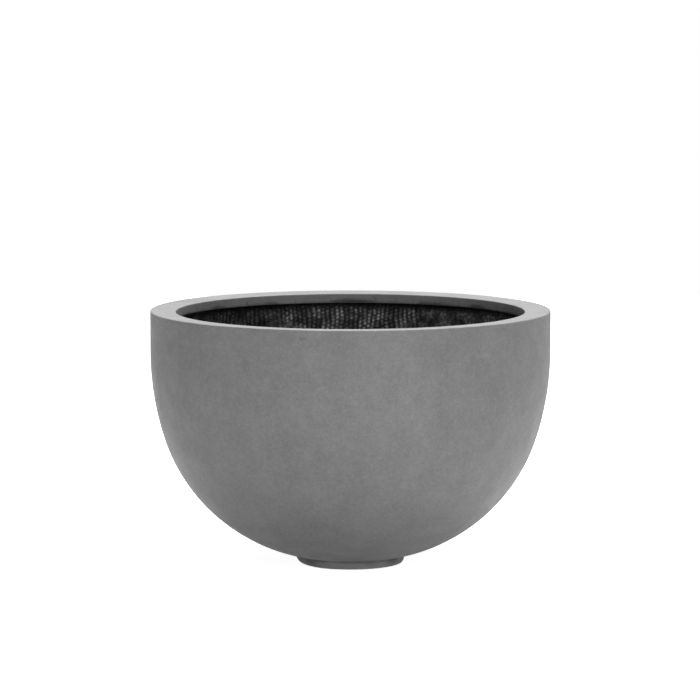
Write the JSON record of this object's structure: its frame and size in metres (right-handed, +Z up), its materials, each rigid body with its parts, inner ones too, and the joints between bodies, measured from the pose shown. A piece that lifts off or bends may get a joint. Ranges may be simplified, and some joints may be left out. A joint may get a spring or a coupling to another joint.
{
  "type": "bowl planter",
  "caption": "Deep round bowl planter: thin cast stone face, broad rim turned down into a lip, lapped woven-cloth backing, short foot and a lift-out rubber drain plug.",
  "frame": {"origin": "centre of the foot's ground ring, on the ground plane", "axes": "+Z up along the bowl's axis; +Y towards the side of the bowl that is at the back in the picture, +X to its right"},
  "size_m": [0.3799, 0.38, 0.242],
  "materials": {
    "stone_face": "matte, smooth-cast, fine speckle",
    "stone_foot": "matte, rough-trimmed",
    "rim_filler": "matte, raw, hidden",
    "coated_cloth": "black coat over woven glass cloth, satin ribs",
    "plug_rubber": "matte moulded"
  },
  "bodies": {
    "bowl": {"face_shell": "stone_face", "rim_core": "rim_filler", "foot": "stone_foot", "floor_cloth": "coated_cloth", "under_gore_1": "coated_cloth", "under_gore_2": "coated_cloth", "under_gore_3": "coated_cloth", "under_gore_4": "coated_cloth", "over_gore_1": "coated_cloth", "over_gore_2": "coated_cloth", "over_gore_3": "coated_cloth", "over_gore_4": "coated_cloth"},
    "plug": {"drain_plug": "plug_rubber"}
  },
  "joints": [
    {"name": "plug_lift", "type": "slide", "parent": "bowl", "child": "plug", "axis": [0, 0, 1], "range_m": [0, 0.04]}
  ]
}
